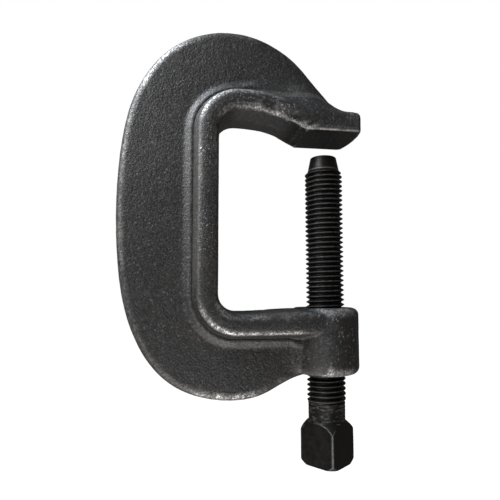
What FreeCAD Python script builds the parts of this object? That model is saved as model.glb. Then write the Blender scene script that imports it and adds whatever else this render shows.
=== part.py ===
import FreeCAD, Part

import math
import os

# A heavy-service forged C clamp: a one-piece steel frame and a square-headed screw.
# Millimetres.  +Z runs up the screw towards the anvil, +X from the spine to the screw, Y is
# the depth.  The origin is where the screw's axis meets the anvil face.

INCH = 25.4

# Driving dimensions of the frame
JAW_OPENING = 4.0 * INCH        # top of the boss to the anvil face
THROAT_DEPTH = 2.5 * INCH       # screw axis to the inside of the spine
WEB_THICKNESS = 16.0
WEB_RIM_RADIUS = 4.0
BOSS_DIAMETER = 1.5 * INCH
BOSS_HEIGHT = 37.6
BOSS_EDGE_RADIUS = 4.2
ARM_BELOW_BOSS_TOP = 1.5        # the forged arm lies just under the machined boss face

# Driving dimensions of the screw: 7/8-9 UNC
THREAD_DIAMETER = 0.875 * INCH
THREAD_PITCH = INCH / 9.0
TURNS_PER_SLICE = 12
SLICES = 4
RUNNING_CLEARANCE = 0.10        # radial, between the thread's crests and the bore
NOSE_LENGTH = 8.4
NOSE_TIP_DIAMETER = 15.6
SHANK_DIAMETER = 21.2
SHANK_LENGTH = 10.3
HEAD_ACROSS_FLATS = 0.875 * INCH
HEAD_LENGTH = 24.2
TIP_GAP = 11.6                  # screw tip to anvil face, as the clamp is modelled
HEAD_TURN = 38.0                # degrees from +X to the normal of one flat

# The frame's outline at mid-depth (x, z), from under the boss, round the back, to the anvil nose
OUTER_OUTLINE = [
    (-16.0, -139.4),
    (-24.5, -142.4),
    (-38.0, -149.2),
    (-61.0, -152.0),
    (-90.3, -141.9),
    (-110.2, -115.1),
    (-119.5, -72.0),
    (-119.7, -22.0),
    (-108.7, 26.1),
    (-86.4, 51.7),
    (-56.0, 60.1),
    (-28.0, 51.9),
    (-17.0, 43.4),
    (-8.0, 33.2),
    (2.5, 21.4),
    (9.5, 11.0),
]

# Where the web ends unseen, inside the anvil, the rib and the boss
HIDDEN_OUTLINE = [
    (4.0, 4.0),
    (-16.0, 7.0),
    (-34.0, 14.0),
    (-66.0, 16.0),
    (-70.0, 4.0),
    (-70.0, -100.0),
    (-60.0, -109.0),
    (-10.0, -110.0),
    (-12.0, -134.0),
]

# The inside of the C
LOWER_CORNER_RADIUS = 9.5
UPPER_CORNER_RADIUS = 10.5
UPPER_ARM_Z = 8.4               # underside of the upper arm, next to the spine
ARCH_START_X = -50.0            # where the underside starts to curve down to the anvil
ARCH_END_X = -18.2              # and where it comes level with the anvil's face
ANVIL_LEFT_X = -14.0

# The rib round the inside of the C: half of its section, as (distance out from the inside
# face, depth from the middle)
RIB_INSIDE_CROWN = (0.0, 0.0)
RIB_INSIDE_EDGE = (1.4, 14.5)
RIB_INSIDE_ROUND = (2.2, 16.8)
RIB_FACE_START = (4.4, 18.0)
RIB_FACE_MIDDLE = (7.6, 18.2)
RIB_FACE_END = (11.0, 17.7)
RIB_RIDGE = (12.3, 17.0)
RIB_FLANK_START = (13.0, 15.7)
RIB_FLANK_END = (15.0, 10.7)
RIB_FOOT = (15.5, 9.8)
RIB_BEAD_START = (16.1, 9.6)
RIB_BEAD_TOP = (17.7, 10.0)
RIB_BEAD_END = (22.0, 7.6)
RIB_ROOT = (10.0, 6.0)

# The anvil
ANVIL_CROWN_X = 19.8            # its rounded end, at the middle of the depth
ANVIL_RIGHT_X = 17.4            # and at its corners, before they are rounded
ANVIL_TOP_LEFT_X = 4.5
ANVIL_HEIGHT = 12.0
ANVIL_DEPTH = 36.0
ANVIL_CORNER_RADIUS = 3.2
ANVIL_TOP_RADIUS = 3.0
ANVIL_FACE_EDGE_RADIUS = 0.7

# The forging swells from the web's depth to the anvil's along these two outlines (x, z)
SWELL_AT_WEB = [(-38.0, 12.0), (-34.0, 26.0), (-14.0, 33.0), (-1.5, 23.0), (11.0, 11.0), (11.0, 2.0)]
SWELL_AT_ANVIL = [(-15.0, 2.2), (-17.0, 11.5), (-9.0, 13.4), (4.5, 11.9), (13.0, 11.9), (13.0, 1.2)]
SWELL_INSET = 0.4               # keeps its side just under the anvil's

# Where the rib's sides come down to the anvil's face (x, z)
LANDING = [(-14.0, 0.0), (-27.0, 6.0), (-27.0, 10.0), (-8.0, 10.0), (-8.0, 3.0)]
LANDING_DEPTH = 34.6

# The standard thread's proportions, as parts of the pitch
THREAD_DEPTH = 0.6134 * THREAD_PITCH
CREST_FLAT = THREAD_PITCH / 8.0
FLANK_SLOPE = math.tan(math.radians(30.0))
RIDGE_ROOT_OVERLAP = 0.15       # how far the ridge is sunk into the core

MINOR_RADIUS = THREAD_DIAMETER / 2.0 - THREAD_DEPTH
NOSE_TIP_CHAMFER = 0.8
BORE_CHAMFER = 0.8
HEAD_CORNER_RADIUS = 0.6
HEAD_BOTTOM_ROUNDING = 2.6      # how far the rounding at the bottom reaches in and up a corner
RUNOUT_DEPTH = 0.3              # how far inside the shank the last turn ends
OUTSIDE_RADIUS = THREAD_DIAMETER / 2.0 + 1.0
FACE_TOLERANCE = 1e-4
SLICE_LENGTH = TURNS_PER_SLICE * THREAD_PITCH
THREAD_LENGTH = SLICES * SLICE_LENGTH

UP = FreeCAD.Vector(0, 0, 1)
DEPTHWISE = FreeCAD.Vector(0, 1, 0)
ORIGIN = FreeCAD.Vector(0, 0, 0)

BOSS_TOP_Z = -JAW_OPENING
BOSS_BOTTOM_Z = BOSS_TOP_Z - BOSS_HEIGHT
LOWER_ARM_Z = BOSS_TOP_Z - ARM_BELOW_BOSS_TOP
NOSE_TIP_Z = -TIP_GAP
THREAD_TOP_Z = NOSE_TIP_Z - NOSE_LENGTH
THREAD_BOTTOM_Z = THREAD_TOP_Z - THREAD_LENGTH


def at(x, z, y=0.0):
    return FreeCAD.Vector(x, y, z)


def face_from(points):
    return Part.Face(Part.makePolygon(points + points[:1]))


def revolved(outline):
    """Solid of revolution about the screw axis from (radius, z) points."""
    return face_from([at(radius, z) for radius, z in outline]).revolve(ORIGIN, UP, 360)


def edges_along(shape, chosen):
    """The edges of a shape whose middle point satisfies a test."""
    middles = [(edge, edge.valueAt((edge.FirstParameter + edge.LastParameter) / 2)) for edge in shape.Edges]
    return [edge for edge, middle in middles if chosen(middle)]


def inside_path():
    """The line of the inside face, from the boss, up the spine and along to the anvil."""
    spine_x = -THROAT_DEPTH
    diagonal = 1.0 - math.sqrt(0.5)
    lower, upper = LOWER_CORNER_RADIUS, UPPER_CORNER_RADIUS
    # The arch is the arc that starts level and comes down to the anvil's face
    run = ARCH_END_X - ARCH_START_X
    drop = UPPER_ARM_Z
    arch_radius = (run * run + drop * drop) / (2.0 * drop)
    half_run = run / 2.0
    half_drop = arch_radius - math.sqrt(arch_radius ** 2 - half_run ** 2)
    edges = [
        Part.makeLine(at(0, LOWER_ARM_Z), at(spine_x + lower, LOWER_ARM_Z)),
        Part.Arc(
            at(spine_x + lower, LOWER_ARM_Z),
            at(spine_x + lower * diagonal, LOWER_ARM_Z + lower * diagonal),
            at(spine_x, LOWER_ARM_Z + lower),
        ).toShape(),
        Part.makeLine(at(spine_x, LOWER_ARM_Z + lower), at(spine_x, UPPER_ARM_Z - upper)),
        Part.Arc(
            at(spine_x, UPPER_ARM_Z - upper),
            at(spine_x + upper * diagonal, UPPER_ARM_Z - upper * diagonal),
            at(spine_x + upper, UPPER_ARM_Z),
        ).toShape(),
        Part.makeLine(at(spine_x + upper, UPPER_ARM_Z), at(ARCH_START_X, UPPER_ARM_Z)),
        Part.Arc(
            at(ARCH_START_X, UPPER_ARM_Z),
            at(ARCH_START_X + half_run, UPPER_ARM_Z - half_drop),
            at(ARCH_END_X, 0),
        ).toShape(),
        Part.makeLine(at(ARCH_END_X, 0), at(ANVIL_LEFT_X, 0)),
    ]
    return Part.Wire(edges)


def rib_section():
    """The rib's closed section, standing across the start of the inside path."""

    def front(point):
        return at(0, LOWER_ARM_Z - point[0], -point[1])

    def back(point):
        return at(0, LOWER_ARM_Z - point[0], point[1])

    def half(side):
        return [
            Part.makeLine(side(RIB_INSIDE_CROWN), side(RIB_INSIDE_EDGE)),
            Part.Arc(side(RIB_INSIDE_EDGE), side(RIB_INSIDE_ROUND), side(RIB_FACE_START)).toShape(),
            Part.Arc(side(RIB_FACE_START), side(RIB_FACE_MIDDLE), side(RIB_FACE_END)).toShape(),
            Part.Arc(side(RIB_FACE_END), side(RIB_RIDGE), side(RIB_FLANK_START)).toShape(),
            Part.makeLine(side(RIB_FLANK_START), side(RIB_FLANK_END)),
            Part.Arc(side(RIB_FLANK_END), side(RIB_FOOT), side(RIB_BEAD_START)).toShape(),
            Part.Arc(side(RIB_BEAD_START), side(RIB_BEAD_TOP), side(RIB_BEAD_END)).toShape(),
            Part.makeLine(side(RIB_BEAD_END), side(RIB_ROOT)),
        ]

    joint = Part.makeLine(front(RIB_ROOT), back(RIB_ROOT))
    return Part.Wire(Part.__sortEdges__(half(front) + [joint] + half(back)))


def rib():
    return inside_path().makePipeShell([rib_section()], True, False)


def web():
    """The crescent plate, with its outer rim rounded on both sides."""
    outline = Part.BSplineCurve()
    outline.interpolate([at(x, z) for x, z in OUTER_OUTLINE])
    hidden = [at(x, z) for x, z in OUTER_OUTLINE[-1:] + HIDDEN_OUTLINE + OUTER_OUTLINE[:1]]
    boundary = Part.Wire([outline.toShape()] + Part.makePolygon(hidden).Edges)
    plate = Part.Face(boundary).extrude(DEPTHWISE * WEB_THICKNESS)
    plate.translate(DEPTHWISE * (-WEB_THICKNESS / 2.0))
    rim = [edge for edge in plate.Edges if isinstance(edge.Curve, Part.BSplineCurve)]
    return plate.makeFillet(WEB_RIM_RADIUS, rim)


def boss():
    radius = BOSS_DIAMETER / 2.0
    cylinder = Part.makeCylinder(radius, BOSS_HEIGHT, at(0, BOSS_BOTTOM_Z), UP)
    rims = [edge for edge in cylinder.Edges if isinstance(edge.Curve, Part.Circle)]
    return cylinder.makeFillet(BOSS_EDGE_RADIUS, rims)


def anvil():
    """The pad at the end of the upper arm: crowned at its end, its top falling away to the arm."""
    half_depth = ANVIL_DEPTH / 2.0
    near_left, far_left = at(ANVIL_LEFT_X, 0, -half_depth), at(ANVIL_LEFT_X, 0, half_depth)
    near_right, far_right = at(ANVIL_RIGHT_X, 0, -half_depth), at(ANVIL_RIGHT_X, 0, half_depth)
    plan = Part.Wire([
        Part.makeLine(near_left, near_right),
        Part.Arc(near_right, at(ANVIL_CROWN_X, 0), far_right).toShape(),
        Part.makeLine(far_right, far_left),
        Part.makeLine(far_left, near_left),
    ])
    pad = Part.Face(plan).extrude(UP * ANVIL_HEIGHT)
    for radius, chosen in (
        (ANVIL_CORNER_RADIUS, lambda p: abs(p.x - ANVIL_RIGHT_X) < 0.01 and 1.0 < p.z < ANVIL_HEIGHT - 1.0),
        (ANVIL_TOP_RADIUS, lambda p: p.z > ANVIL_HEIGHT - 0.01 and p.x > ANVIL_TOP_LEFT_X),
        (ANVIL_FACE_EDGE_RADIUS, lambda p: p.z < 0.01 and p.x > ANVIL_LEFT_X + 1.0),
    ):
        pad = pad.makeFillet(radius, edges_along(pad, chosen))
    # Everything above the line from the lower left edge to the top's left edge is taken away
    above = [
        at(ANVIL_LEFT_X, 0, -ANVIL_DEPTH),
        at(ANVIL_TOP_LEFT_X, ANVIL_HEIGHT, -ANVIL_DEPTH),
        at(ANVIL_TOP_LEFT_X, 2.0 * ANVIL_HEIGHT, -ANVIL_DEPTH),
        at(2.0 * ANVIL_LEFT_X, 2.0 * ANVIL_HEIGHT, -ANVIL_DEPTH),
        at(2.0 * ANVIL_LEFT_X, 0, -ANVIL_DEPTH),
    ]
    return pad.cut(face_from(above).extrude(DEPTHWISE * (2.0 * ANVIL_DEPTH)))


def anvil_swell():
    """The widening of the upper arm, one tapered block on each side of the web."""
    half_web = WEB_THICKNESS / 2.0 - 1.0
    half_anvil = ANVIL_DEPTH / 2.0 - SWELL_INSET
    solids = []
    for side in (-1, 1):
        ends = [(SWELL_AT_WEB, side * half_web), (SWELL_AT_ANVIL, side * half_anvil)]
        outlines = [Part.makePolygon([at(x, z, y) for x, z in points + points[:1]]) for points, y in ends]
        solids.append(Part.makeLoft(outlines, True, True))
    return solids


def landing():
    """The slope that brings the rib's crowned underside down to the flat of the anvil's face."""
    outline = [at(x, z, -LANDING_DEPTH / 2.0) for x, z in LANDING]
    return face_from(outline).extrude(DEPTHWISE * LANDING_DEPTH)


def bore():
    """The screw's hole through the boss, with a small chamfer at each mouth."""
    radius = THREAD_DIAMETER / 2.0 + RUNNING_CLEARANCE
    mouth = radius + BORE_CHAMFER
    return revolved([
        (0, BOSS_BOTTOM_Z - 1.0),
        (mouth + 1.0, BOSS_BOTTOM_Z - 1.0),
        (radius, BOSS_BOTTOM_Z + BORE_CHAMFER),
        (radius, BOSS_TOP_Z - BORE_CHAMFER),
        (mouth + 1.0, BOSS_TOP_Z + 1.0),
        (0, BOSS_TOP_Z + 1.0),
    ])


def frame():
    solid = web().fuse([rib(), boss(), anvil(), landing()] + anvil_swell())
    return solid.cut(bore()).removeSplitter()


def screw_nose():
    """The plain tapered tip that bears on the work."""
    tip_radius = NOSE_TIP_DIAMETER / 2.0
    return revolved([
        (0, THREAD_TOP_Z),
        (MINOR_RADIUS, THREAD_TOP_Z),
        (tip_radius, NOSE_TIP_Z - NOSE_TIP_CHAMFER),
        (tip_radius - NOSE_TIP_CHAMFER, NOSE_TIP_Z),
        (0, NOSE_TIP_Z),
    ])


def thread_ridge():
    """One right-hand ridge, a turn longer than a slice of thread at both ends."""
    root_radius = MINOR_RADIUS - RIDGE_ROOT_OVERLAP
    crest_radius = THREAD_DIAMETER / 2.0
    half_crest = CREST_FLAT / 2.0
    half_root = half_crest + (crest_radius - root_radius) * FLANK_SLOPE
    section = Part.makePolygon([
        at(root_radius, -half_root),
        at(crest_radius, -half_crest),
        at(crest_radius, half_crest),
        at(root_radius, half_root),
        at(root_radius, -half_root),
    ])
    helix = Part.makeHelix(THREAD_PITCH, (TURNS_PER_SLICE + 2) * THREAD_PITCH, MINOR_RADIUS)
    ridge = helix.makePipeShell([section], True, True)
    ridge.translate(UP * -THREAD_PITCH)
    return ridge


def thread_slice(core_outline, ridge_limits):
    """A slice of the screw standing on z = 0: a turned core with the ridge round it."""
    return revolved(core_outline).fuse(thread_ridge().common(revolved(ridge_limits)))


def plain_slice():
    return thread_slice(
        [(0, 0), (MINOR_RADIUS, 0), (MINOR_RADIUS, SLICE_LENGTH), (0, SLICE_LENGTH)],
        [(0, 0), (OUTSIDE_RADIUS, 0), (OUTSIDE_RADIUS, SLICE_LENGTH), (0, SLICE_LENGTH)],
    )


def leading_slice():
    """The top slice, where the ridge rises at 45 degrees from the nose."""
    lead = OUTSIDE_RADIUS - MINOR_RADIUS
    return thread_slice(
        [(0, 0), (MINOR_RADIUS, 0), (MINOR_RADIUS, SLICE_LENGTH), (0, SLICE_LENGTH)],
        [(0, 0), (OUTSIDE_RADIUS, 0), (OUTSIDE_RADIUS, SLICE_LENGTH - lead), (MINOR_RADIUS, SLICE_LENGTH),
         (0, SLICE_LENGTH)],
    )


def runout_slice():
    """The bottom slice, where the ridge sinks into the plain shank."""
    shank_radius = SHANK_DIAMETER / 2.0
    runout_radius = shank_radius - RUNOUT_DEPTH
    core = [
        (0, -SHANK_LENGTH),
        (shank_radius, -SHANK_LENGTH),
        (shank_radius, 0),
        (MINOR_RADIUS, shank_radius - MINOR_RADIUS),
        (MINOR_RADIUS, SLICE_LENGTH),
        (0, SLICE_LENGTH),
    ]
    limits = [
        (0, 0),
        (runout_radius, 0),
        (OUTSIDE_RADIUS, OUTSIDE_RADIUS - runout_radius),
        (OUTSIDE_RADIUS, SLICE_LENGTH),
        (0, SLICE_LENGTH),
    ]
    return thread_slice(core, limits)


def outer_faces(solid, joint_heights):
    """The faces of a slice without the flat ends that it shares with its neighbours."""

    def is_joint(face):
        box = face.BoundBox
        return box.ZLength < FACE_TOLERANCE and any(abs(box.ZMin - z) < FACE_TOLERANCE for z in joint_heights)

    return [face for face in solid.Faces if not is_joint(face)]


def rounding_sphere(end_z, inwards, end_radius, reach):
    """A sphere on the axis that leaves a circle at one end of the head and meets its corners."""
    corner_radius = HEAD_ACROSS_FLATS / math.sqrt(2.0)
    depth = (corner_radius ** 2 - end_radius ** 2 + reach ** 2) / (2.0 * reach)
    return Part.makeSphere(math.hypot(end_radius, depth), at(0, end_z + inwards * depth))


def screw_head():
    """The square head, its corners rounded off at both ends; its top is at z = 0."""
    side = HEAD_ACROSS_FLATS
    square = Part.makeBox(side, side, HEAD_LENGTH, at(-side / 2.0, -HEAD_LENGTH, -side / 2.0))
    upright = edges_along(square, lambda p: abs(p.x) > 1 and abs(p.y) > 1)
    square = square.makeFillet(HEAD_CORNER_RADIUS, upright)
    square.rotate(ORIGIN, UP, HEAD_TURN)
    corner_radius = side / math.sqrt(2.0)
    shank_radius = SHANK_DIAMETER / 2.0
    top = rounding_sphere(0, -1, shank_radius, corner_radius - shank_radius)
    bottom = rounding_sphere(-HEAD_LENGTH, 1, corner_radius - HEAD_BOTTOM_ROUNDING, HEAD_BOTTOM_ROUNDING)
    return square.common(top).common(bottom)


def screw():
    """Thread and shank, sewn together from slices of whole turns, with the head below them."""
    slices = [runout_slice()] + [plain_slice() for _ in range(SLICES - 2)] + [leading_slice()]
    joint_heights = [index * SLICE_LENGTH for index in range(1, SLICES)]
    faces = []
    for index, piece in enumerate(slices):
        piece.translate(UP * (index * SLICE_LENGTH))
        faces += outer_faces(piece, joint_heights)
    shell = Part.makeShell(faces)
    shell.sewShape()
    head = screw_head()
    head.translate(UP * -SHANK_LENGTH)
    solid = Part.makeSolid(shell).fuse(head)
    solid.translate(UP * THREAD_BOTTOM_Z)
    return solid


PARTS = {
    "frame": frame,
    "screw_nose": screw_nose,
    "screw": screw,
}

os.makedirs("parts", exist_ok=True)
for name, make in PARTS.items():
    shape = make()
    box = shape.BoundBox
    print(name, "solids", len(shape.Solids), "valid", shape.isValid(), "volume", round(shape.Volume),
          "x", round(box.XMin, 1), round(box.XMax, 1), "z", round(box.ZMin, 1), round(box.ZMax, 1))
    shape.exportStep(f"parts/{name}.step")
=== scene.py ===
import math

import bpy
import numpy as np
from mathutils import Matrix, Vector, noise


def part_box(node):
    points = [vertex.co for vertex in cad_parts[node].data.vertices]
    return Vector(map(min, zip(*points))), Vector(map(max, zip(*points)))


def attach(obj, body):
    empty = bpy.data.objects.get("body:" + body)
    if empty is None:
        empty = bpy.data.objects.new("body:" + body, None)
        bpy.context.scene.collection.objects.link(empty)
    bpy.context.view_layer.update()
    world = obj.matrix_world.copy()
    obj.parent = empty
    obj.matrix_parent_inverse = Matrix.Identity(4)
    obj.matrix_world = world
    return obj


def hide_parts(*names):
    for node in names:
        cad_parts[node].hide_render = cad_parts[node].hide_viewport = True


# A forged C clamp: the frame is remeshed and given its forged skin here, and the screw and its
# nose are turned from profiles.  Metres, +Z up the screw towards the anvil.

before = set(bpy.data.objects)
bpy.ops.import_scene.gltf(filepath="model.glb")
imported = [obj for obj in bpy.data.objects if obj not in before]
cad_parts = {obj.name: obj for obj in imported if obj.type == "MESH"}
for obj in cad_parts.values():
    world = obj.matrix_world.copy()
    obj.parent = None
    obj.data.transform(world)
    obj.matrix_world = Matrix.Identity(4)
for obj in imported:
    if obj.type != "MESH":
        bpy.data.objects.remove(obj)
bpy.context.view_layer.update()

MM = 0.001

# ---------------------------------------------------------------- sizes that CAD settles

NOSE_LOW, NOSE_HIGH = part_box("screw_nose")
SCREW_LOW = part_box("screw")[0]

INCH = 25.4 * MM
JAW_OPENING = 4 * INCH
BOSS_TOP = -JAW_OPENING
BOSS_BOTTOM = BOSS_TOP - 37.6 * MM
BOSS_RADIUS = 0.75 * INCH
ARM_TOP = BOSS_TOP - 1.5 * MM   # the top of the lower arm
ANVIL_HALF_DEPTH = 18 * MM
ANVIL_LEFT = -14 * MM
WEB_HALF_DEPTH = 8 * MM
BEAD_HEIGHT = 2 * MM            # of the bead's crest over the web
BORE_RADIUS = 11.2125 * MM
BORE_CHAMFER = 0.8 * MM

# The inside of the C is a core with a rounded border of this width
THROAT_CORNER = 10 * MM
THROAT_DEPTH = 2.5 * INCH
THROAT_TOP = 8.4 * MM
THROAT_CORE_X = -THROAT_DEPTH + THROAT_CORNER
THROAT_CORE_LOW = ARM_TOP + THROAT_CORNER
THROAT_CORE_HIGH = THROAT_TOP - THROAT_CORNER

THREAD_RADIUS = 0.4375 * INCH
THREAD_PITCH = INCH / 9
THREAD_DEPTH = 0.6134 * THREAD_PITCH
MINOR_RADIUS = THREAD_RADIUS - THREAD_DEPTH
THREAD_TURNS = 48
THREAD_TOP = NOSE_LOW.z
THREAD_BOTTOM = THREAD_TOP - THREAD_TURNS * THREAD_PITCH
SHANK_RADIUS = 10.6 * MM
SHANK_BOTTOM = THREAD_BOTTOM - 10.3 * MM
HEAD_BOTTOM = SCREW_LOW.z
HEAD_ACROSS_FLATS = 0.875 * INCH
HEAD_FLAT_ANGLE = math.radians(38)


# ---------------------------------------------------------------- mesh helpers

def object_from(name, vertices, faces):
    mesh = bpy.data.meshes.new(name)
    mesh.from_pydata([tuple(v) for v in vertices], [], faces)
    mesh.update()
    made = bpy.data.objects.new(name, mesh)
    bpy.context.scene.collection.objects.link(made)
    return made


def applied(made, kind, **settings):
    """Adds one modifier and bakes its result into the mesh."""
    modifier = made.modifiers.new(kind.lower(), kind)
    for key, value in settings.items():
        setattr(modifier, key, value)
    graph = bpy.context.evaluated_depsgraph_get()
    mesh = bpy.data.meshes.new_from_object(made.evaluated_get(graph))
    made.modifiers.clear()
    made.data = mesh
    return made


def points_of(mesh):
    points = np.empty(len(mesh.vertices) * 3)
    mesh.vertices.foreach_get("co", points)
    return points.reshape(-1, 3)


def set_points(mesh, points):
    mesh.vertices.foreach_set("co", points.ravel())
    mesh.update()


def normals_of(mesh):
    normals = np.empty(len(mesh.vertices) * 3)
    mesh.vertices.foreach_get("normal", normals)
    return normals.reshape(-1, 3)


class Neighbours:
    """Averages over each vertex's neighbours."""

    def __init__(self, mesh):
        edges = np.empty(len(mesh.edges) * 2, int)
        mesh.edges.foreach_get("vertices", edges)
        self.a, self.b = edges.reshape(-1, 2).T
        self.count = len(mesh.vertices)
        self.degree = np.bincount(edges, minlength=self.count)

    def average(self, values):
        columns = []
        for column in values.T:
            total = np.bincount(self.a, column[self.b], self.count)
            total += np.bincount(self.b, column[self.a], self.count)
            columns.append(total / self.degree)
        return np.array(columns).T

    def smoothed(self, values, rounds, strength=0.5):
        for _ in range(rounds):
            values = values + strength * (self.average(values) - values)
        return values


def smooth_step(low, high, value):
    """0 at low, 1 at high and smooth between; low may be the greater of the two."""
    t = np.clip((value - low) / (high - low), 0.0, 1.0)
    return t * t * (3.0 - 2.0 * t)


def noise_at(points, wavelength, seed, octaves=1):
    """Smooth noise from about -1 to 1 at each point, the same on every run."""
    offset = Vector((seed * 17.3, seed * 5.1, seed * 9.7))
    scaled = points / wavelength
    if octaves == 1:
        return np.array([noise.noise(Vector(p) + offset) for p in scaled])
    fade, finer = 0.8, 2.1
    return np.array([noise.fractal(Vector(p) + offset, fade, finer, octaves) for p in scaled])


def store(mesh, name, values):
    attribute = mesh.attributes.new(name, "FLOAT", "POINT")
    attribute.data.foreach_set("value", np.asarray(values, np.float32))


def store_wear(mesh, rounds, flat, sharp):
    """Keeps how convex ("wear") and how hollow ("cavity") the surface is, from 0 to 1."""
    points = points_of(mesh)
    near = Neighbours(mesh)
    proud = ((points - near.smoothed(points, rounds)) * normals_of(mesh)).sum(1)
    proud = near.smoothed(proud[:, None], rounds=2)[:, 0]
    store(mesh, "wear", smooth_step(flat, sharp, proud))
    store(mesh, "cavity", smooth_step(2 * flat, 2 * sharp, -proud))


def shade_smooth(mesh):
    mesh.polygons.foreach_set("use_smooth", [True] * len(mesh.polygons))


# ---------------------------------------------------------------- the forged frame

VOXEL = 0.82 * MM
FRAME_WELD = 1e-6               # metres: vertices nearer than this are one
ARM_RISE = 1.35 * MM            # how far the lower arm's top comes up to the boss
BEAD_SHIFT = 1.9 * MM           # how far the bead is drawn towards the rib
RAMP_POWER = 1.7                # how hollow the ramp up to the bead is: 1 is straight
EVENING_ROUNDS = 8
INWARD_STEP = 0.5
OUTWARD_STEP = -0.52
BLENDING_ROUNDS = 120

# The forged surface: how deep each kind of unevenness is, and how long its waves are
SWING_DEPTH, SWING_LENGTH = 0.14 * MM, 26 * MM
DENT_DEPTH, DENT_LENGTH = 0.07 * MM, 7 * MM
PEEL_DEPTH, PEEL_LENGTH = 0.05 * MM, 2.6 * MM
PIT_DEPTH, PIT_LENGTH = 0.16 * MM, 3.4 * MM


def remeshed_frame():
    """A copy of the CAD frame in even small faces."""
    made = bpy.data.objects.new("forged_frame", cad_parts["frame"].data.copy())
    bpy.context.scene.collection.objects.link(made)
    applied(made, "WELD", merge_threshold=FRAME_WELD)
    return applied(made, "REMESH", mode="VOXEL", voxel_size=VOXEL, adaptivity=0.0)


def machined_mask(points):
    """1 on the faces that are cut after forging: the anvil's face, the boss's ends and its bore."""
    x, y, z = points.T
    across = np.hypot(x, y)
    anvil = smooth_step(1.0 * MM, 0.4 * MM, z) * (x > ANVIL_LEFT) * (z > -2 * MM)
    ends = np.minimum(abs(z - BOSS_TOP), abs(z - BOSS_BOTTOM))
    boss = smooth_step(1.0 * MM, 0.4 * MM, ends) * (across < BOSS_RADIUS - 0.05 * MM)
    bore = smooth_step(14.0 * MM, 12.5 * MM, across) * (z < BOSS_TOP + MM)
    return np.maximum(np.maximum(anvil, boss), bore)


def landing_shade(points):
    """0 to 1 over the slope from the arch down to the anvil's face, more the nearer it comes; the
    material paints shade there.
    """
    x, y, z = points.T
    under = smooth_step(17.6 * MM, 16.8 * MM, abs(y)) * smooth_step(9 * MM, 7 * MM, z)
    under *= (x < ANVIL_LEFT + 0.2 * MM) * (z > -2 * MM)
    return under * smooth_step(-30 * MM, -17 * MM, x)


def blend_mask(points):
    """1 where separate masses of the forging run into each other and need generous fillets."""
    x, y, z = points.T
    off_middle = smooth_step(6 * MM, 7.5 * MM, abs(y))
    swell = smooth_step(-44 * MM, -36 * MM, x) * smooth_step(14 * MM, 8 * MM, x)
    swell *= smooth_step(3 * MM, 6 * MM, z)
    across = np.hypot(x, y)
    boss_root = smooth_step(30 * MM, 25 * MM, across) * smooth_step(17 * MM, 19 * MM, across)
    boss_root *= smooth_step(BOSS_TOP - 20 * MM, BOSS_TOP - 24 * MM, z) * (x < -5 * MM)
    boss_root *= smooth_step(BOSS_BOTTOM - 1 * MM, BOSS_BOTTOM + 2 * MM, z)
    return off_middle * np.maximum(swell, boss_root)


def risen_arm(points):
    """Lets the top of the lower arm rise to the boss, as far as the boss's milled top."""
    x, y, z = points.T
    share = smooth_step(-52 * MM, -18 * MM, x) * smooth_step(-2 * MM, -12 * MM, x)
    share *= smooth_step(ARM_TOP - 8 * MM, ARM_TOP - MM, z) * (np.hypot(x, y) > 15 * MM)
    lifted = np.minimum(z + ARM_RISE * share, BOSS_TOP)
    points[:, 2] = np.where(z < BOSS_TOP, lifted, z)


def from_inside(points):
    """Steps left, down and up out of the throat's core, and the distance out from its wall."""
    x, _, z = points.T
    left = np.clip(THROAT_CORE_X - x, 0, None)
    down = np.clip(THROAT_CORE_LOW - z, 0, None)
    up = np.clip(z - THROAT_CORE_HIGH, 0, None)
    return left, down, up, np.hypot(left, down + up) - THROAT_CORNER


def crowded_bead(points):
    """Draws the bead beside the rib towards it, with a hollow ramp up to its crest."""
    x, y, z = points.T
    left, down, up, out = from_inside(points)
    share = smooth_step(14.0 * MM, 18.0 * MM, out) * smooth_step(25 * MM, 19.5 * MM, out)
    share *= smooth_step(6.5 * MM, 7.5 * MM, abs(y)) * smooth_step(-20 * MM, -24 * MM, x)
    share *= np.where(up > 0, smooth_step(-46 * MM, -54 * MM, x), 1.0)
    step = BEAD_SHIFT * share / (out + THROAT_CORNER)
    points[:, 0] += step * left
    points[:, 2] += step * (down - up)
    height = np.clip((abs(y) - WEB_HALF_DEPTH) / BEAD_HEIGHT, 0, 1)
    on_ramp = smooth_step(17.0 * MM, 18.0 * MM, out) * (share > 0)
    points[:, 1] -= np.sign(y) * BEAD_HEIGHT * (height - height ** RAMP_POWER) * on_ramp


def painted_flank_light(points):
    """1 on the side of the rib's ridge, along the spine, where painted light lightens the flank."""
    _, y, z = points.T
    out = from_inside(points)[3]
    band = smooth_step(11.5 * MM, 12.5 * MM, out) * smooth_step(16.0 * MM, 15.0 * MM, out)
    return band * smooth_step(9.5 * MM, 10.5 * MM, abs(y)) * smooth_step(-98 * MM, -80 * MM, z)


def milled_edge(points):
    """1 along the sharp near and far edges of the anvil's face."""
    x, y, z = points.T
    from_edge = np.hypot(z - 0.2 * MM, abs(y) - ANVIL_HALF_DEPTH + 0.2 * MM)
    return smooth_step(1.1 * MM, 0.5 * MM, from_edge) * (x > ANVIL_LEFT - 0.5 * MM)


def open_bore(points):
    """Keeps the bore at least as wide as CAD makes it, chamfers included."""
    x, y, z = points.T
    across = np.hypot(x, y)
    to_end = np.minimum(abs(z - BOSS_TOP), abs(z - BOSS_BOTTOM))
    wall = BORE_RADIUS + 0.03 * MM + np.clip(BORE_CHAMFER - to_end, 0, None)
    inside = (z < BOSS_TOP + MM) & (across < wall) & (across > 0)
    grow = np.where(inside, wall / np.maximum(across, 1e-9), 1.0)
    points[:, 0] *= grow
    points[:, 1] *= grow


def evened(near, points, rounds):
    """Smooths without shrinking: each inward step is followed by one outward."""
    for _ in range(rounds):
        points = near.smoothed(points, 1, INWARD_STEP)
        points = near.smoothed(points, 1, OUTWARD_STEP)
    return points


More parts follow.
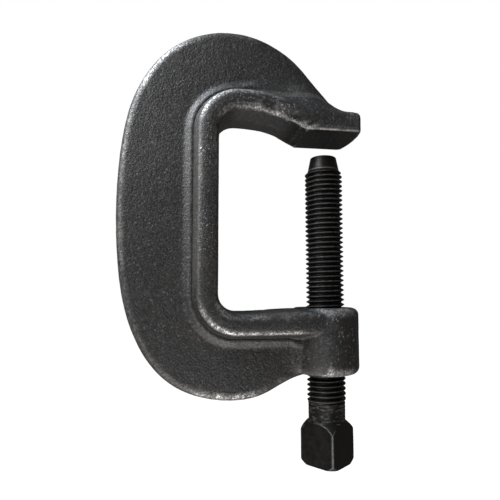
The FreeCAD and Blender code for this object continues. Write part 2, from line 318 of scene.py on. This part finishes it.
def forge_skin(mesh):
    """Softens the edges, runs the masses together and adds the hammered, shot-blasted surface."""
    near = Neighbours(mesh)
    points = points_of(mesh)
    keep = machined_mask(points)[:, None]
    blend = near.smoothed(blend_mask(points)[:, None], rounds=6) * (1 - keep)
    points = keep * points + (1 - keep) * evened(near, points, EVENING_ROUNDS)
    risen_arm(points)
    crowded_bead(points)
    depth = near.smoothed(points[:, 1:2], BLENDING_ROUNDS)
    points[:, 1:2] += blend * (depth - points[:, 1:2])
    set_points(mesh, points)

    normals = normals_of(mesh)
    rough = 1 - keep[:, 0]
    swing = SWING_DEPTH * noise_at(points, SWING_LENGTH, seed=1)
    dents = DENT_DEPTH * noise_at(points, DENT_LENGTH, seed=2)
    peel = PEEL_DEPTH * noise_at(points, PEEL_LENGTH, seed=3)
    pits = -PIT_DEPTH * smooth_step(0.42, 0.75, noise_at(points, PIT_LENGTH, seed=4))
    points += normals * (rough * (swing + dents + peel + pits))[:, None]
    open_bore(points)
    set_points(mesh, points)


# Where hands, tables and wrenches have worn the forging bright, and where a soft painted sheen stands
# in for highlights on its rims, ridges and beads, in millimetres: a place, how far it reaches, how much
RUBBED_AND_SHEEN_PLACES = [
    ((-100, -11, 40), 34, 0.75),
    ((-116, -11, -10), 34, 0.35),
    ((-116, -11, -60), 34, 0.25),
    ((-60, -11, -149), 28, 0.9),
    ((-70, -17, 17), 20, 0.8),
    ((-45, -17, 20), 20, 0.55),
    ((-36, -17, 10), 16, 0.8),
    ((-18, -17, 4), 12, 0.9),
    ((-72, -17, -20), 24, 0.2),
    ((-68, -17, -108), 14, 0.7),
    ((-58, -17, -116), 13, 0.9),
    ((-42, -17, -116), 13, 1.0),
    ((-26, -17, -116), 13, 0.8),
    ((2, -17, -138), 14, 0.75),
    ((2, -17, -104), 16, 0.5),
]

# And where small bright scuffs are strewn over its faces
SCUFFED_PLACES = [
    ((10, -16, -122), 17, 0.6),
    ((-4, -18, -106), 9, 0.6),
    ((-30, -18, 9), 14, 0.9),
    ((-50, -18, 18), 14, 0.9),
    ((-72, -18, -60), 18, 0.5),
    ((-72, -18, -10), 18, 0.7),
]


def closeness(points, places, least):
    """How strongly each point is touched, from a list of places and their mirror images."""
    total = np.full(len(points), least)
    mirrored = points * (1, -1, 1)
    for place, reach, amount in places:
        for side in (points, mirrored):
            offset = side - np.array(place) * MM
            same_depth = smooth_step(6 * MM, 3 * MM, abs(offset[:, 1]))
            away = np.linalg.norm(offset, axis=1)
            near = smooth_step(reach * MM, 0.35 * reach * MM, away)
            total = np.maximum(total, amount * same_depth * near)
    return total


def forged_frame():
    """The whole frame, with what its material needs to know kept at each vertex."""
    made = remeshed_frame()
    mesh = made.data
    forge_skin(mesh)
    points = points_of(mesh)
    store_wear(mesh, rounds=12, flat=0.045 * MM, sharp=0.20 * MM)
    store(mesh, "rubbed_and_sheen", closeness(points, RUBBED_AND_SHEEN_PLACES, least=0.10))
    store(mesh, "scuffed", closeness(points, SCUFFED_PLACES, least=0.12))
    # the cut faces and the landing slope, which the material darkens as painted shade
    store(mesh, "machined_and_shade", np.maximum(machined_mask(points), landing_shade(points)))
    store(mesh, "milled_edge", milled_edge(points))
    store(mesh, "painted_flank_light", painted_flank_light(points))
    shade_smooth(mesh)
    mesh.materials.clear()
    mesh.materials.append(forged_steel())
    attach(made, "frame")
    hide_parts("frame")


# ---------------------------------------------------------------- the screw

COLUMNS = 128
THREAD_ROWS = (-0.40, -0.30, -0.16, -0.08, -0.04, 0.0, 0.04, 0.08, 0.16, 0.30, 0.40, 0.50)
SPARE_TURNS = 2                 # beyond each end of the thread, pressed flat into the end planes
CREST_END = 0.0625              # the flank runs between these, in pitches from the crest's middle
ROOT_START = 0.4167
NICK_DEPTH, NICK_LENGTH = 0.10 * MM, 2.2 * MM
RUNOUT_DEPTH = 0.3 * MM         # how far inside the shank the last turn ends
HEAD_CORNER_POWER = 40          # how square the head is: higher is sharper
END_BLEND_POWER = 60            # and how tightly its sides meet its rounded ends
CORNER_CROWDING = 0.15          # draws the columns together at the head's corners
HEAD_ROUNDING = 2.6 * MM
HEAD_TOP_ROWS_DEPTH = 6.5 * MM  # the parts of the head that need close rows
HEAD_FOOT_ROWS_DEPTH = 4 * MM
SHANK_UNEVENNESS, SHANK_WAVE = 0.10 * MM, 9 * MM
RING_DEPTH = 0.10 * MM          # the faint tool marks on the shank under the thread
RING_SPACING = 1.9 * MM
FOOT_SHARES = (0.93, 0.8, 0.6, 0.4, 0.2)
SCREW_WELD = 1e-7               # metres

NOSE_RADIUS = 7.8 * MM
NOSE_EDGE = 0.8 * MM
NOSE_INSET = 0.02 * MM          # keeps its foot inside the end of the thread
CONE_STEPS = np.linspace(0.04, 1.0, 22)
EDGE_TURNS = np.linspace(0.15, 1.0, 8) * math.pi / 2
TIP_SHARES = (0.85, 0.6, 0.3)

# How bright the screw is where it is worn; on the crests this is also a painted highlight
CREST_WEAR_AND_HIGHLIGHT = 0.35
ARRIS_WEAR = 0.8
SHANK_WEAR = 0.42
STREAK_LENGTH = 3.5 * MM


def column_angles():
    """The angle of each column of points, drawn together at the head's corners."""
    even = np.arange(COLUMNS) * 2 * math.pi / COLUMNS
    return HEAD_FLAT_ANGLE + math.pi / 4 + even - CORNER_CROWDING * np.sin(4 * even)


def soft_least(a, b):
    """The lesser of two radii, with the corner between them rounded."""
    return (a ** -END_BLEND_POWER + b ** -END_BLEND_POWER) ** (-1 / END_BLEND_POWER)


def thread_profile(offset):
    """Radius of the thread at a distance along the axis from its crest."""
    part = abs(offset) / THREAD_PITCH
    height = np.clip((ROOT_START - part) / (ROOT_START - CREST_END), 0.0, 1.0)
    return MINOR_RADIUS + THREAD_DEPTH * height


def turned_faces(rows):
    """Quads between neighbouring rings of points."""
    faces = []
    for row in range(rows - 1):
        low, high = row * COLUMNS, (row + 1) * COLUMNS
        for column in range(COLUMNS):
            after = (column + 1) % COLUMNS
            faces.append((low + column, low + after, high + after, high + column))
    return faces


def ring_points(radii, heights, angles):
    """Points from arrays of radius and height, one row for each ring."""
    points = [radii * np.cos(angles), radii * np.sin(angles), heights + 0 * radii]
    return np.stack(points, -1).reshape(-1, 3)


def thread_grid(angles):
    """The thread's points and faces: rows follow the helix, so one turn ends a pitch higher."""
    offsets = np.array(THREAD_ROWS) * THREAD_PITCH
    per_turn = len(offsets)
    turns = THREAD_TURNS + 2 * SPARE_TURNS
    start = THREAD_BOTTOM - SPARE_TURNS * THREAD_PITCH
    lift = (angles - angles[0]) / (2 * math.pi) * THREAD_PITCH
    rows = [start + turn * THREAD_PITCH + offset for turn in range(turns) for offset in offsets]
    heights = np.array(rows)[:, None] + lift[None, :]
    radii = np.tile(thread_profile(offsets), turns)[:, None] + 0 * heights
    radii = worn_thread(radii, heights, angles)
    faces = []
    for row in range(len(rows) - per_turn - 1):
        for column in range(COLUMNS):
            here = row * COLUMNS + column
            if column < COLUMNS - 1:
                after = here + 1
            else:
                after = (row + per_turn) * COLUMNS
            faces.append((here, after, after + COLUMNS, here + COLUMNS))
    return ring_points(radii, np.clip(heights, THREAD_BOTTOM, THREAD_TOP), angles), faces


def worn_thread(radii, heights, angles):
    """Trims the thread to its lead and runout, and nicks its crests a little."""
    lead = MINOR_RADIUS + np.clip(THREAD_TOP - heights, 0, None)
    runout = SHANK_RADIUS - RUNOUT_DEPTH + np.clip(heights - THREAD_BOTTOM, 0, None)
    core = np.maximum(MINOR_RADIUS, SHANK_RADIUS - np.clip(heights - THREAD_BOTTOM, 0, None))
    core = np.where(heights > THREAD_TOP, MINOR_RADIUS, core)
    surface = ring_points(radii, heights, angles)
    nicks = noise_at(surface, NICK_LENGTH, seed=6).reshape(radii.shape)
    crest = smooth_step(MINOR_RADIUS, THREAD_RADIUS, radii)
    radii = radii - crest * NICK_DEPTH * smooth_step(0.1, 0.6, nicks)
    return np.maximum(core, np.minimum(radii, np.minimum(lead, runout)))


def rounding(heights, end, inwards, end_radius, reach):
    """Radius of the sphere that rounds the head's corners at one end."""
    corner = HEAD_ACROSS_FLATS / math.sqrt(2)
    depth = (corner ** 2 - end_radius ** 2 + reach ** 2) / (2 * reach)
    from_centre = heights - (end + inwards * depth)
    return np.sqrt(np.maximum(end_radius ** 2 + depth ** 2 - from_centre ** 2, MM ** 2))


def end_radius(heights):
    """The lesser of the two spheres' radii at a height on the head."""
    corner = HEAD_ACROSS_FLATS / math.sqrt(2)
    inside = np.clip(heights, HEAD_BOTTOM, SHANK_BOTTOM)
    top = rounding(inside, SHANK_BOTTOM, -1, SHANK_RADIUS, corner - SHANK_RADIUS)
    bottom = rounding(inside, HEAD_BOTTOM, 1, corner - HEAD_ROUNDING, HEAD_ROUNDING)
    return soft_least(top, bottom)


def head_radius(angles, heights):
    """The square head, its corners rounded off at both ends."""
    half = HEAD_ACROSS_FLATS / 2
    power = HEAD_CORNER_POWER
    turned = angles - HEAD_FLAT_ANGLE
    square = half / (abs(np.cos(turned)) ** power + abs(np.sin(turned)) ** power) ** (1 / power)
    return soft_least(square, end_radius(heights))


def shank_and_head(angles):
    """Rings from the end of the thread down over the shank and the head, closed underneath."""
    top_end = SHANK_BOTTOM - HEAD_TOP_ROWS_DEPTH
    foot_start = HEAD_BOTTOM + HEAD_FOOT_ROWS_DEPTH
    shank = np.linspace(THREAD_BOTTOM, SHANK_BOTTOM, 30)
    top = np.linspace(SHANK_BOTTOM, top_end, 28)[1:]
    sides = np.linspace(top_end, foot_start, 18)[1:]
    foot = np.linspace(foot_start, HEAD_BOTTOM, 16)[1:]
    heights = np.concatenate([shank, top, sides, foot])[:, None] + 0 * angles[None, :]
    radii = np.where(heights > SHANK_BOTTOM, SHANK_RADIUS, head_radius(angles[None, :], heights))
    surface = ring_points(radii, heights, angles)
    uneven = noise_at(surface, SHANK_WAVE, seed=7).reshape(radii.shape)
    below = THREAD_BOTTOM - heights
    radii = radii - SHANK_UNEVENNESS * smooth_step(0, 2 * MM, below) * (1 + uneven)
    rings = np.sin(2 * math.pi * below / RING_SPACING)
    rings *= smooth_step(0, MM, below) * smooth_step(6 * MM, 2 * MM, below)
    radii = radii + RING_DEPTH * rings
    last = radii[-1]
    for share in FOOT_SHARES:
        radii = np.vstack([radii, last * share])
        heights = np.vstack([heights, heights[-1]])
    return ring_points(radii, heights, angles), len(heights)


def capped(points, faces, first_ring, height, upwards):
    """Closes a ring with a fan round a point on the axis: adds to faces and returns the points."""
    centre = len(points)
    points = np.vstack([points, [[0, 0, height]]])
    for column in range(COLUMNS):
        after = (column + 1) % COLUMNS
        edge = (first_ring + column, first_ring + after)
        faces.append((*edge, centre) if upwards else (*reversed(edge), centre))
    return points


def radii_of(mesh):
    x, y, _ = points_of(mesh).T
    return np.hypot(x, y)


def threaded_screw():
    """The thread, the shank and the square head, closed at both ends."""
    angles = column_angles()
    points, faces = thread_grid(angles)
    lower, rows = shank_and_head(angles)
    shift = len(points)
    for face in turned_faces(rows):
        faces.append(tuple(shift + index for index in reversed(face)))
    points = np.vstack([points, lower])
    points = capped(points, faces, shift + (rows - 1) * COLUMNS, HEAD_BOTTOM, False)
    top_ring = len(points)
    top_rim = ring_points(MINOR_RADIUS + 0 * angles[None], np.array([[THREAD_TOP]]), angles)
    points = np.vstack([points, top_rim])
    points = capped(points, faces, top_ring, THREAD_TOP, True)
    made = object_from("threaded_screw", points, faces)
    applied(made, "WELD", merge_threshold=SCREW_WELD)
    made.data.validate()
    store(made.data, "wear", screw_wear(points_of(made.data)))
    # how hollow the thread's roots are, which the material darkens as painted shade
    hollow = smooth_step(THREAD_RADIUS - 0.6 * MM, MINOR_RADIUS, radii_of(made.data))
    store(made.data, "cavity", hollow)
    finish_turned(made, "screw_turn", "screw")


def tapered_nose():
    """The plain cone that bears on the work, its tip's edge rounded."""
    angles = column_angles()
    tip = NOSE_HIGH.z
    profile = [(MINOR_RADIUS - NOSE_INSET, THREAD_TOP)]
    top_height = tip - NOSE_EDGE
    for step in CONE_STEPS:
        narrowing = (MINOR_RADIUS - NOSE_RADIUS) * step
        rise = (top_height - THREAD_TOP) * step
        profile.append((MINOR_RADIUS - narrowing, THREAD_TOP + rise))
    for turn in EDGE_TURNS:
        radius = NOSE_RADIUS - NOSE_EDGE * (1 - math.cos(turn))
        profile.append((radius, top_height + NOSE_EDGE * math.sin(turn)))
    for share in TIP_SHARES:
        profile.append(((NOSE_RADIUS - NOSE_EDGE) * share, tip))
    radii = np.array([r for r, _ in profile])[:, None] + 0 * angles[None]
    heights = np.array([h for _, h in profile])[:, None] + 0 * radii
    faces = turned_faces(len(profile))
    points = ring_points(radii, heights, angles)
    points = capped(points, faces, (len(profile) - 1) * COLUMNS, tip, True)
    points = capped(points, faces, 0, THREAD_TOP, False)
    made = object_from("tapered_nose", points, faces)
    store_wear(made.data, rounds=3, flat=0.02 * MM, sharp=0.2 * MM)
    finish_turned(made, "screw_travel", "screw_nose")


def screw_wear(points):
    """How bright each point is worn: the thread's crests, where it is also a painted highlight, the
    shank and the head's corners.
    """
    x, y, z = points.T
    across = np.hypot(x, y)
    crest = smooth_step(THREAD_RADIUS - 0.22 * MM, THREAD_RADIUS - 0.02 * MM, across)
    # the crests' brightness is partly painted highlight
    crest *= CREST_WEAR_AND_HIGHLIGHT * (z > THREAD_BOTTOM)
    angles = np.arctan2(y, x)
    turned = angles - HEAD_FLAT_ANGLE
    half = HEAD_ACROSS_FLATS / 2
    flat = half / np.maximum(abs(np.cos(turned)), abs(np.sin(turned)))
    corner = smooth_step(1.335 * half, 1.375 * half, across)
    end_gap = abs(end_radius(z) - flat)
    arris = ARRIS_WEAR * smooth_step(0.5 * MM, 0.1 * MM, end_gap)
    arris *= smooth_step(1.17 * half, 1.30 * half, across)
    head = np.maximum(corner, arris) * (z < SHANK_BOTTOM - MM)
    squeezed = points * (1, 1, 3)
    streaks = smooth_step(0.0, 0.5, noise_at(squeezed, STREAK_LENGTH, seed=8, octaves=3))
    shank = SHANK_WEAR * streaks * (z < THREAD_BOTTOM) * (z > SHANK_BOTTOM - 0.5 * MM)
    return np.maximum(np.maximum(crest, head), shank)


def finish_turned(made, body, node):
    """Gives a turned piece its material and its place in the assembly."""
    mesh = made.data
    shade_smooth(mesh)
    mesh.materials.append(screw_steel())
    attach(made, body)
    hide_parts(node)


# ---------------------------------------------------------------- materials

GREY_OXIDE = (0.013, 0.013, 0.014)
BROWN_OXIDE = (0.019, 0.018, 0.017)
OXIDE_GRAIN = (0.090, 0.090, 0.090)
# Painted shade laid into the frame's hollows and grooves
PAINTED_SHADE_IN_HOLLOWS = (0.011, 0.011, 0.011)
# Painted light: the lighter tone laid on the rib's flank along the spine
PAINTED_FLANK_LIGHT = (0.060, 0.057, 0.053)
# Painted shade laid on the anvil's face, the boss's ends, its bore and the landing slope
MACHINED_PAINTED_SHADE = (0.005, 0.005, 0.005)
# Bare steel where the edges are worn, and a soft painted sheen on rims and beads
BARE_STEEL_AND_SHEEN = (0.66, 0.65, 0.64)

SCREW_BLACK = (0.004, 0.004, 0.004)
SCREW_BROWN = (0.007, 0.006, 0.005)
# Painted shade laid into the thread's roots
PAINTED_ROOT_SHADE = (0.001, 0.001, 0.001)
# Worn steel on the corners and shank, also a painted highlight on the crests
WORN_STEEL_AND_HIGHLIGHT = (0.25, 0.25, 0.25)

FLOOR_GREY = (0.93, 0.93, 0.93)
FLOOR_WHITE = (0.95, 0.95, 0.95)


class Nodes:
    """Short ways to build one material's nodes."""

    def __init__(self, name):
        self.material = bpy.data.materials.new(name)
        self.material.use_nodes = True
        self.tree = self.material.node_tree
        self.shader = self.tree.nodes["Principled BSDF"]
        self.position = self.add("ShaderNodeTexCoord").outputs["Object"]

    def add(self, kind, **settings):
        node = self.tree.nodes.new(kind)
        for key, value in settings.items():
            setattr(node, key, value)
        return node

    def link(self, output, target):
        self.tree.links.new(output, target)

    def noise(self, size, detail=2.0, roughness=0.55):
        node = self.add("ShaderNodeTexNoise")
        self.link(self.position, node.inputs["Vector"])
        node.inputs["Scale"].default_value = 1.0 / size
        node.inputs["Detail"].default_value = detail
        node.inputs["Roughness"].default_value = roughness
        return node.outputs["Fac"]

    def attribute(self, name):
        return self.add("ShaderNodeAttribute", attribute_name=name).outputs["Fac"]

    def ramp(self, value, low, high, to_low=0.0, to_high=1.0):
        node = self.add("ShaderNodeMapRange", interpolation_type="SMOOTHSTEP")
        self.link(value, node.inputs["Value"])
        node.inputs["From Min"].default_value = low
        node.inputs["From Max"].default_value = high
        node.inputs["To Min"].default_value = to_low
        node.inputs["To Max"].default_value = to_high
        return node.outputs["Result"]

    def math(self, operation, a, b):
        node = self.add("ShaderNodeMath", operation=operation, use_clamp=operation == "MULTIPLY")
        for socket, value in zip(node.inputs, (a, b)):
            if isinstance(value, float):
                socket.default_value = value
            else:
                self.link(value, socket)
        return node.outputs[0]

    def mix(self, factor, a, b):
        """A colour between a and b; each is a colour or an output."""
        node = self.add("ShaderNodeMix", data_type="RGBA")
        self.link(factor, node.inputs["Factor"])
        for socket, value in ((node.inputs[6], a), (node.inputs[7], b)):
            if isinstance(value, tuple):
                socket.default_value = (*value, 1.0)
            else:
                self.link(value, socket)
        return node.outputs[2]

    def bump(self, height, distance, under=None):
        node = self.add("ShaderNodeBump")
        node.inputs["Distance"].default_value = distance
        node.inputs["Strength"].default_value = 1.0
        self.link(height, node.inputs["Height"])
        if under is not None:
            self.link(under, node.inputs["Normal"])
        return node.outputs["Normal"]


def forged_steel():
    """Dark forging oxide: pitted, a little brown inside, worn bright on the edges with a soft painted
    sheen, painted shade in its hollows and on its cut faces, and painted light on the rib's flank.
    """
    n = Nodes("forged_steel")
    patches = n.ramp(n.noise(22 * MM, 3.0), 0.35, 0.65)
    oxide = n.mix(patches, GREY_OXIDE, BROWN_OXIDE)
    grain = n.ramp(n.noise(1.0 * MM, 3.0), 0.48, 0.74)
    oxide = n.mix(n.math("MULTIPLY", grain, 0.50), oxide, OXIDE_GRAIN)
    # painted shade: the hollows and grooves are darkened by how hollow they are
    oxide = n.mix(n.attribute("cavity"), oxide, PAINTED_SHADE_IN_HOLLOWS)
    mottle = n.ramp(n.noise(1.4 * MM, 3.0), 0.35, 0.65, 0.5, 1.0)
    # painted light: lightens the rib's flank along the spine, mottled
    thin = n.math("MULTIPLY", n.attribute("painted_flank_light"), mottle)
    oxide = n.mix(thin, oxide, PAINTED_FLANK_LIGHT)
    # painted shade: darkens the anvil's face, the boss's ends, the bore and the landing slope
    oxide = n.mix(n.math("MULTIPLY", n.attribute("machined_and_shade"), 0.85), oxide, MACHINED_PAINTED_SHADE)
    # the speckle's floor of 0.16 leaves a soft, even share: painted sheen on the worn edges
    speckle = n.ramp(n.noise(1.2 * MM, 4.0, 0.75), 0.45, 0.60, 0.16, 1.0)
    patch = n.ramp(n.noise(6 * MM, 2.0), 0.34, 0.58, 0.50, 1.0)
    wear = n.math("MULTIPLY", n.attribute("wear"), n.attribute("rubbed_and_sheen"))
    wear = n.math("MULTIPLY", n.math("MULTIPLY", wear, patch), speckle)
    wear = n.math("MULTIPLY", wear, 1.5)
    broken = n.ramp(n.noise(5 * MM, 3.0), 0.3, 0.6, 0.20, 0.75)
    edge = n.math("MULTIPLY", n.attribute("milled_edge"), broken)
    flecks = n.ramp(n.noise(1.5 * MM, 4.0, 0.7), 0.58, 0.68)
    scuffs = n.math("MULTIPLY", n.attribute("scuffed"), flecks)
    wear = n.math("MAXIMUM", n.math("MAXIMUM", wear, edge), scuffs)
    n.link(n.mix(wear, oxide, BARE_STEEL_AND_SHEEN), n.shader.inputs["Base Color"])
    n.link(n.ramp(wear, 0.0, 1.0, 0.0, 0.75), n.shader.inputs["Metallic"])
    n.link(n.ramp(n.noise(2.5 * MM, 3.0), 0.3, 0.7, 0.36, 0.52), n.shader.inputs["Roughness"])
    n.link(n.ramp(n.attribute("machined_and_shade"), 0.0, 1.0, 0.62, 0.15), n.shader.inputs["Specular IOR Level"])
    peel = n.bump(n.noise(1.3 * MM, 3.0, 0.6), 0.38 * MM)
    fine = n.bump(n.noise(0.6 * MM, 2.0), 0.08 * MM, under=peel)
    n.link(fine, n.shader.inputs["Normal"])
    return n.material


def screw_steel():
    """Near-black oiled steel with thin bright lines where the corners rub, painted highlights along the
    crests and painted shade in the thread's roots.
    """
    n = Nodes("screw_steel")
    patches = n.ramp(n.noise(6 * MM, 3.0), 0.35, 0.65)
    black = n.mix(patches, SCREW_BLACK, SCREW_BROWN)
    # painted shade: darkens the thread's roots
    black = n.mix(n.attribute("cavity"), black, PAINTED_ROOT_SHADE)
    scuffs = n.ramp(n.noise(2.2 * MM, 4.0, 0.7), 0.45, 0.66, 0.45, 1.0)
    wear = n.math("MULTIPLY", n.attribute("wear"), scuffs)
    n.link(n.mix(wear, black, WORN_STEEL_AND_HIGHLIGHT), n.shader.inputs["Base Color"])
    n.link(n.ramp(wear, 0.0, 1.0, 0.0, 0.5), n.shader.inputs["Metallic"])
    n.link(n.ramp(n.noise(3 * MM, 3.0), 0.3, 0.7, 0.36, 0.48), n.shader.inputs["Roughness"])
    n.shader.inputs["Specular IOR Level"].default_value = 0.34
    n.link(n.bump(n.noise(1.1 * MM, 3.0), 0.05 * MM), n.shader.inputs["Normal"])
    return n.material


def floor_material():
    """White, and hardly mottled."""
    n = Nodes("studio_floor")
    tone = n.ramp(n.noise(60 * MM, 2.0), 0.3, 0.7)
    n.link(n.mix(tone, FLOOR_GREY, FLOOR_WHITE), n.shader.inputs["Base Color"])
    n.shader.inputs["Roughness"].default_value = 0.9
    n.shader.inputs["Emission Color"].default_value = (1, 1, 1, 1)
    n.shader.inputs["Emission Strength"].default_value = 1.0
    return n.material


# ---------------------------------------------------------------- studio

SENSOR_WIDTH = 36               # millimetres, as is the focal length
FOCAL_LENGTH = 32.4
CAMERA_PLACE = (-86.5 * MM, -257.7 * MM, -91.6 * MM)
CAMERA_YAW = math.radians(9.14)
CAMERA_PITCH = math.radians(5.13)
FLOOR_HEIGHT = HEAD_BOTTOM - 0.45
FLOOR_HALF_SIDE = 6.0
STUDIO_CENTRE = Vector((-0.05, 0.0, -0.06))
ROOM_COLOUR = (1.0, 0.95, 0.92, 1)
ROOM_STRENGTH = 0.10

# Each lamp's name, azimuth, elevation, distance, size, power and colour
LAMPS = [
    ("key", -60, 36, 0.38, 0.30, 1.35, (1.0, 0.98, 0.96)),
    ("top left", -74, 54, 0.7, 0.30, 5.5, (0.80, 0.90, 1.0)),
    ("table", -20, -62, 0.45, 0.40, 1.7, (1.0, 0.97, 0.94)),
    ("behind", 175, -50, 0.8, 0.40, 0.6, (1.0, 1.0, 1.0)),
]


def camera():
    data = bpy.data.cameras.new("camera")
    data.lens = FOCAL_LENGTH
    data.sensor_width = SENSOR_WIDTH
    data.clip_start = 0.01
    made = bpy.data.objects.new("camera", data)
    made.location = CAMERA_PLACE
    made.rotation_euler = (math.pi / 2 + CAMERA_PITCH, 0, -CAMERA_YAW)
    bpy.context.scene.collection.objects.link(made)
    bpy.context.scene.camera = made


def softbox(name, azimuth, elevation, distance, size, power, colour):
    """A square lamp aimed at the object; azimuth 0 is in front and 90 at the right."""
    a, e = math.radians(azimuth), math.radians(elevation)
    away = Vector((math.sin(a) * math.cos(e), -math.cos(a) * math.cos(e), math.sin(e)))
    data = bpy.data.lights.new(name, "AREA")
    data.shape = "SQUARE"
    data.size = size
    data.energy = power
    data.color = colour
    made = bpy.data.objects.new(name, data)
    made.location = STUDIO_CENTRE + away * distance
    made.rotation_euler = (-away).to_track_quat("-Z", "Y").to_euler()
    made.visible_camera = False
    bpy.context.scene.collection.objects.link(made)


def white_room():
    """White to the camera, and a dim even light on the object."""
    world = bpy.data.worlds.new("room")
    world.use_nodes = True
    bpy.context.scene.world = world
    nodes, links = world.node_tree.nodes, world.node_tree.links
    nodes.clear()
    path = nodes.new("ShaderNodeLightPath")
    seen = nodes.new("ShaderNodeBackground")
    seen.inputs["Color"].default_value = (1, 1, 1, 1)
    lit = nodes.new("ShaderNodeBackground")
    lit.inputs["Color"].default_value = ROOM_COLOUR
    lit.inputs["Strength"].default_value = ROOM_STRENGTH
    both = nodes.new("ShaderNodeMixShader")
    out = nodes.new("ShaderNodeOutputWorld")
    links.new(path.outputs["Is Camera Ray"], both.inputs[0])
    links.new(lit.outputs[0], both.inputs[1])
    links.new(seen.outputs[0], both.inputs[2])
    links.new(both.outputs[0], out.inputs["Surface"])


def studio():
    """The floor, the four lamps, the room and the camera."""
    side = FLOOR_HALF_SIDE
    corners = [(-side, -side), (side, -side), (side, side), (-side, side)]
    floor = object_from("studio_floor", [(x, y, FLOOR_HEIGHT) for x, y in corners], [(0, 1, 2, 3)])
    floor.data.materials.append(floor_material())
    floor.visible_diffuse = False
    floor.visible_glossy = False
    for lamp in LAMPS:
        softbox(*lamp)
    white_room()
    camera()
    bpy.context.scene.view_settings.view_transform = "Standard"


forged_frame()
threaded_screw()
tapered_nose()
studio()
